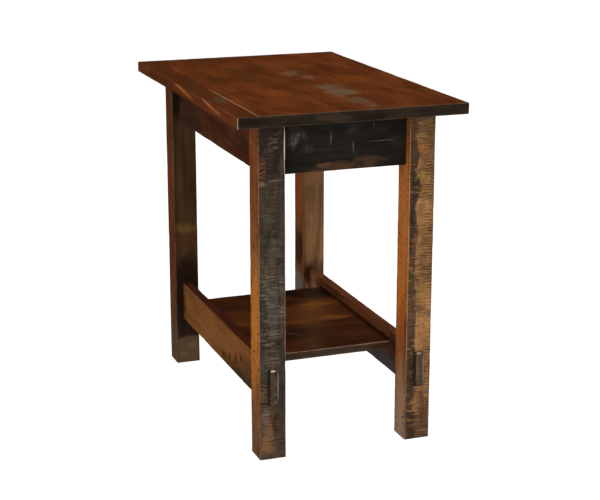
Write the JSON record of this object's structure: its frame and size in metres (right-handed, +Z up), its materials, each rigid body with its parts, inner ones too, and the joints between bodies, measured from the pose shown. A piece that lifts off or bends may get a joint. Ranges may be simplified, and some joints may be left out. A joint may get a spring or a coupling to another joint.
{
  "type": "rustic side table",
  "caption": "Small rectangular side table with a plank top, square legs, aprons, low side stretchers with through tenons and a short slab shelf between them.",
  "frame": {"origin": "on the floor, in the middle of the footprint of the top", "axes": "+X to the right across the table, +Y from the front end to the back end along the top's longer side, +Z up"},
  "size_m": [0.428, 0.67, 0.635],
  "materials": {
    "leg_wood": "dark glazed rough-sawn wood, semi-gloss, rubbed pale on edges",
    "apron_wood": "near-black glazed rough-sawn wood, semi-gloss",
    "stretcher_wood": "red-brown glazed wood, semi-gloss",
    "shelf_wood": "red-brown glazed wood, semi-gloss",
    "top_wood": "dark red-brown glazed planks, gloss, rubbed pale on edges",
    "button_wood": "bare hardwood",
    "screw_steel": "plain steel"
  },
  "bodies": {
    "root": {"leg_front_left": "leg_wood", "leg_front_right": "leg_wood", "leg_back_right": "leg_wood", "leg_back_left": "leg_wood", "apron_front": "apron_wood", "apron_back": "apron_wood", "apron_left": "apron_wood", "apron_right": "apron_wood", "stretcher_left": "stretcher_wood", "stretcher_right": "stretcher_wood", "shelf_board_front": "shelf_wood", "shelf_board_middle": "shelf_wood", "shelf_board_back": "shelf_wood", "top_board_1": "top_wood", "top_board_2": "top_wood", "top_board_3": "top_wood", "top_board_4": "top_wood", "top_board_5": "top_wood", "button_front_left": "button_wood", "button_front_right": "button_wood", "button_back_left": "button_wood", "button_back_right": "button_wood", "button_left_front": "button_wood", "button_left_back": "button_wood", "button_right_front": "button_wood", "button_right_back": "button_wood", "button_screws": "screw_steel"}
  },
  "joints": []
}
